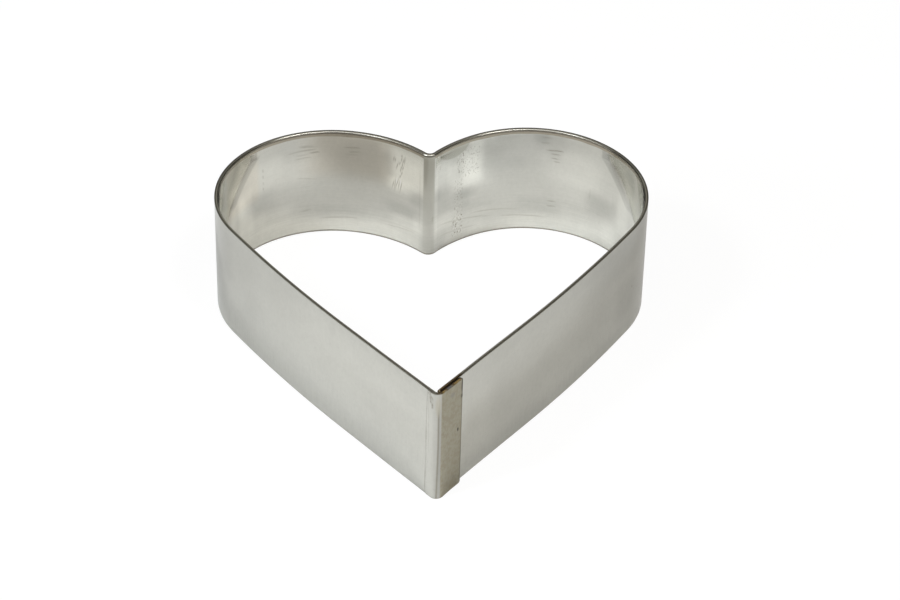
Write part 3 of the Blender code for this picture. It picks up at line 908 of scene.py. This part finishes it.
def rims(paint, steel):
    """Rolled margin, bend, cut top, and painted shade along the edges and on the rim at the lobes' far
    ends. Gives the colour, and zones with the roughness they add.
    """
    s, z, outer, inner = paint.s, paint.z, paint.outer, paint.inner
    border = paint.math("MULTIPLY_ADD", paint.noise(paint.place, *ROLLED_BORDER), ROLLED_BORDER_WANDER, z)
    rolled = paint.times(inner, paint.step(border, *ROLLED_ROWS))
    steel = paint.cover(rolled, steel, ROLLED_STEEL)
    bent = paint.times(inner, paint.window(s, *BEND_STRIP), paint.step(z, *BEND_STRIP_ROWS))
    steel = paint.cover(bent, steel, BEND_STEEL)
    # Painted contact shade: darker along the bottom edge, which is also rougher
    low = paint.step(z, paint.by_face(*LOW_EDGE_STARTS), paint.by_face(*LOW_EDGE_ENDS))
    low = paint.times(low, paint.by_face(*LOW_EDGE_SHARE))
    steel = paint.cover(low, steel, LOW_EDGE_SHADE)
    # Painted shadow: a dark line under the burr on the inner face
    burr_shadow = paint.times(inner, paint.window(z, *BURR_SHADOW_ROWS))
    steel = paint.cover(burr_shadow, steel, BURR_SHADOW, BURR_SHADOW_SHARE)
    # The burr keeps the steel's colour in the listed stretches, where its highlight shows, and elsewhere is
    # painted dark: painted shade
    burr = paint.times(inner, paint.step(z, *BURR_ROWS))
    steel = paint.cover(burr, steel, paint.mix(paint.windows(s, UNSHADED_BURR), SHADED_BURR, BURR))
    cut = paint.step(z, *CUT_ROWS)
    steel = paint.cover(cut, steel, EDGE_STEEL)
    # Painted shade: a dark band along the top of the outer face, reaching lower near the tip
    top_edge_shade = paint.times(outer, paint.step(z, paint.step(s, *TOP_EDGE_SHADE_FROM_ROW), TOP_EDGE_SHADE_TO_ROW))
    steel = paint.cover(top_edge_shade, steel, EDGE_SHADE)
    # Painted shade on the inner part of the rim at the lobes' far ends
    shaded = paint.times(paint.windows(s, SHADED_RIM), paint.step(z, *SHADED_ROWS))
    steel = paint.cover(paint.times(shaded, paint.step(paint.o, *SHADED_SIDE)), steel, RIM_SHADE)
    edges = paint.math("MAXIMUM", cut, top_edge_shade)
    return steel, ((rolled, ROLLED_ROUGHER), (burr, BURR_ROUGHER), (low, LOW_EDGE_ROUGHER),
                   (edges, EDGES_ROUGHER))


def lap(paint, steel):
    """The flap's dull face, the burn of the welds, painted shade in the lap's gap and along the flap's free
    end, and the spots. Gives the flap's zone too.
    """
    s, z, outer = paint.s, paint.z, paint.outer
    flap = paint.times(outer, paint.step(s, *FLAP_FACE))
    flap_steel = paint.mix(paint.step(paint.mottle, *FLAP_STAINS), FLAP_STEEL, FLAP_STAIN)
    steel = paint.cover(flap, steel, flap_steel)
    in_lap = paint.math("ADD", paint.step(s, *LAP_AT_START), paint.step(s, *LAP_AT_END))
    top = paint.step(z, paint.by_face(*BURN_STARTS), BURN_ENDS)
    burn_edge = paint.noise(paint.place, *BURN_BORDER)
    golden = paint.times(paint.windows(s, GOLDEN_BURN), GOLDEN_SHARE)
    golden = paint.math("MAXIMUM", golden, paint.step(burn_edge, *OCHRE_PARTS))
    burn_colour = paint.mix(golden, BURNT, OCHRE)
    burn_colour = paint.cover(paint.window(s, *BLUED_BURN), burn_colour, BURN_BLUE, BLUED_SHARE)
    steel = paint.cover(paint.times(in_lap, top, paint.step(burn_edge, *BURNT_PARTS)), steel, burn_colour)
    # Painted shade: near black on the faces that look into the gap between the layers at the top
    to_gap = paint.times(paint.o, paint.step(s, *LAP_SIDE))
    steel = paint.cover(paint.times(in_lap, top, paint.step(to_gap, *GAP_SHADE_SIDE)), steel, GAP_SHADE)
    # Painted shadow: a dark line along the flap's free end
    end = paint.times(outer, paint.step(s, *FLAP_END_SHADOW))
    steel = paint.cover(end, steel, EDGE_SHADE, FLAP_END_SHADOW_SHARE)
    for at, radii, strength, colour in SPOTS:
        spot = paint.step(paint.oval(at, radii), *SPOT_BORDER)
        steel = paint.cover(paint.times(outer, spot), steel, colour, strength)
    return steel, flap


def steel_material():
    """Satin rolled sheet with the marks of its tools, the burn of the welds, and painted light and shade.
    """
    paint = StripPaint("satin_steel")
    steel, rougher = rims(paint, tool_marks(paint, plain_finish(paint)))
    steel, flap = lap(paint, steel)
    rough = paint.math("ADD", paint.math("MULTIPLY_ADD", paint.cloud, CLOUDS_ROUGHER, PLAIN_ROUGHNESS),
                       paint.times(paint.speck, SPECKS_ROUGHER))
    for zone, more in ((flap, FLAP_ROUGHER), *rougher):
        rough = paint.math("MULTIPLY_ADD", zone, more, rough)
    height = paint.math("ADD", paint.grain, paint.times(paint.speck, SPECK_HEIGHT_SHARE))
    paint.finish({"Base Color": steel, "Roughness": rough, "Metallic": 1.0,
                  "Normal": paint.bump(height, GRAIN_HEIGHT)})
    return paint.material


def weld_material():
    """Dull fused steel with brown and blue heat tint."""
    paint = Paint("fused_steel")
    place = paint.stretch(paint.add("ShaderNodeTexCoord").outputs["Object"], PER_MM)
    tint = paint.noise(place, *WELD_TINT)
    colour = paint.mix(paint.step(tint, *WELD_BLUED), BURNT, BURN_BLUE)
    colour = paint.mix(paint.step(tint, *WELD_GOLDEN), colour, OCHRE)
    lumps = paint.noise(place, *WELD_LUMPS)
    paint.finish({"Base Color": colour, "Metallic": 1.0, "Roughness": paint.step(tint, *WELD_ROUGHNESS),
                  "Normal": paint.bump(lumps, WELD_LUMP_HEIGHT)})
    return paint.material


def make_bead(material):
    """Metal squeezed out of the top weld, which closes the gap there."""
    first, last = BEAD_ENDS
    shape = bmesh.new()
    rings = []
    for i in range(1, BEAD_COLUMNS):
        part = i / BEAD_COLUMNS
        s = first + (last - first) * part
        swell = math.sin(math.pi * part) ** 0.5
        ring = []
        for j in range(BEAD_SIDES):
            turn = 2 * math.pi * j / BEAD_SIDES
            place = Vector((s / BEAD_LUMP_LENGTH, 3 * math.cos(turn), 3 * math.sin(turn)))
            lump = 1 + BEAD_LUMPS * noise.noise(place)
            across = -(SHEET + LAP_GAP) / 2 + BEAD_HALF_WIDTH * swell * lump * math.cos(turn)
            up = STRIP_HEIGHT - BEAD_BELOW_RIM + BEAD_HALF_HEIGHT * swell * lump * math.sin(turn)
            ring.append(shape.verts.new((s, across, up)))
        rings.append(ring)
    for ring, following in zip(rings, rings[1:]):
        for i in range(BEAD_SIDES):
            shape.faces.new((ring[i - 1], ring[i], following[i], following[i - 1]))
    shape.faces.new(rings[0][::-1])
    shape.faces.new(rings[-1])
    bmesh.ops.recalc_face_normals(shape, faces=shape.faces)
    mesh = bpy.data.meshes.new("top_weld_bead")
    shape.to_mesh(mesh)
    shape.free()
    places = np.array([vert.co for vert in mesh.vertices])
    points, headings = middle_line(places[:, 0])
    points = points + 1j * headings * places[:, 1]
    world = np.column_stack((points.real, points.imag, places[:, 2])) + PLAN_TO_PART
    mesh.vertices.foreach_set("co", world.ravel())
    mesh.shade_smooth()
    mesh.materials.append(material)
    bead = bpy.data.objects.new("top_weld_bead", mesh)
    bpy.context.scene.collection.objects.link(bead)
    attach(bead, "root")


def finish_welds(material):
    """The three nuggets keep their solids and get the fused metal's finish."""
    for name in ("spot_weld_top", "spot_weld_middle", "spot_weld_bottom"):
        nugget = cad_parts[name]
        nugget.data.materials.clear()
        nugget.data.materials.append(material)


def make_camera():
    """The photograph's view."""
    azimuth, elevation, roll = (math.radians(a) for a in (CAMERA_AZIMUTH, CAMERA_ELEVATION, CAMERA_ROLL))
    back = Vector((math.sin(azimuth) * math.cos(elevation), -math.cos(azimuth) * math.cos(elevation),
                   math.sin(elevation)))
    right = (-back).cross(Vector((0, 0, 1))).normalized()
    up = right.cross(-back)
    rolled_right = right * math.cos(roll) + up * math.sin(roll)
    rolled_up = up * math.cos(roll) - right * math.sin(roll)
    turn = Matrix((rolled_right, rolled_up, back)).transposed().to_4x4()
    data = bpy.data.cameras.new("camera")
    data.lens = LENS
    data.sensor_width = SENSOR
    camera = bpy.data.objects.new("camera", data)
    bpy.context.scene.collection.objects.link(camera)
    camera.matrix_world = Matrix.Translation(CAMERA_TARGET + back * CAMERA_DISTANCE) @ turn
    bpy.context.scene.camera = camera


def softbox(name, azimuth, elevation, size, power, colour):
    """A square light that aims at the ring. Azimuth 0 is the camera's side and 90 is +X."""
    around, above = math.radians(azimuth), math.radians(elevation)
    level = math.cos(above)
    way = Vector((math.sin(around) * level, -math.cos(around) * level, math.sin(above)))
    data = bpy.data.lights.new(name, "AREA")
    data.size = size
    data.energy = power
    data.color = colour
    lamp = bpy.data.objects.new(name, data)
    bpy.context.scene.collection.objects.link(lamp)
    lamp.location = way * LIGHT_DISTANCE
    lamp.rotation_euler = (-way).to_track_quat("-Z", "Y").to_euler()


def make_lights():
    """Soft boxes to the left, right and above, and a world that lights nothing."""
    for light in LIGHTS:
        softbox(*light)
    world = bpy.data.worlds.new("studio")
    world.use_nodes = True
    bpy.context.scene.world = world
    tree = world.node_tree
    path = tree.nodes.new("ShaderNodeLightPath")
    tree.links.new(path.outputs["Is Camera Ray"], tree.nodes["Background"].inputs["Strength"])
    tree.nodes["Background"].inputs["Color"].default_value = (1.0, 1.0, 1.0, 1.0)


def make_floor():
    """A pale floor that the camera sees nearly white, with only a faint shadow."""
    mesh = bpy.data.meshes.new("floor")
    half = FLOOR_SIZE / 2
    corners = [(half * x, half * y, -FLOOR_BELOW) for x, y in ((-1, -1), (1, -1), (1, 1), (-1, 1))]
    mesh.from_pydata(corners, [], [(0, 1, 2, 3)])
    floor = bpy.data.objects.new("floor", mesh)
    bpy.context.scene.collection.objects.link(floor)
    paint = Paint("pale_floor")
    paint.finish({"Base Color": (FLOOR_ALBEDO, FLOOR_ALBEDO, FLOOR_ALBEDO, 1.0), "Roughness": 1.0,
                  "Specular IOR Level": 0.0})
    white = paint.add("ShaderNodeEmission", {"Strength": FLOOR_GLOW}).outputs[0]
    seen = paint.add("ShaderNodeLightPath").outputs["Is Camera Ray"]
    mixed = paint.add("ShaderNodeMixShader", {0: paint.times(seen, FLOOR_SHOWN_WHITE),
                                              1: paint.shader.outputs[0], 2: white}).outputs[0]
    paint.put(paint.tree.nodes["Material Output"].inputs["Surface"], mixed)
    mesh.materials.append(paint.material)


make_camera()
make_lights()
make_floor()
make_strip(steel_material())
fused = weld_material()
make_bead(fused)
finish_welds(fused)
bpy.context.scene.view_settings.view_transform = "Standard"
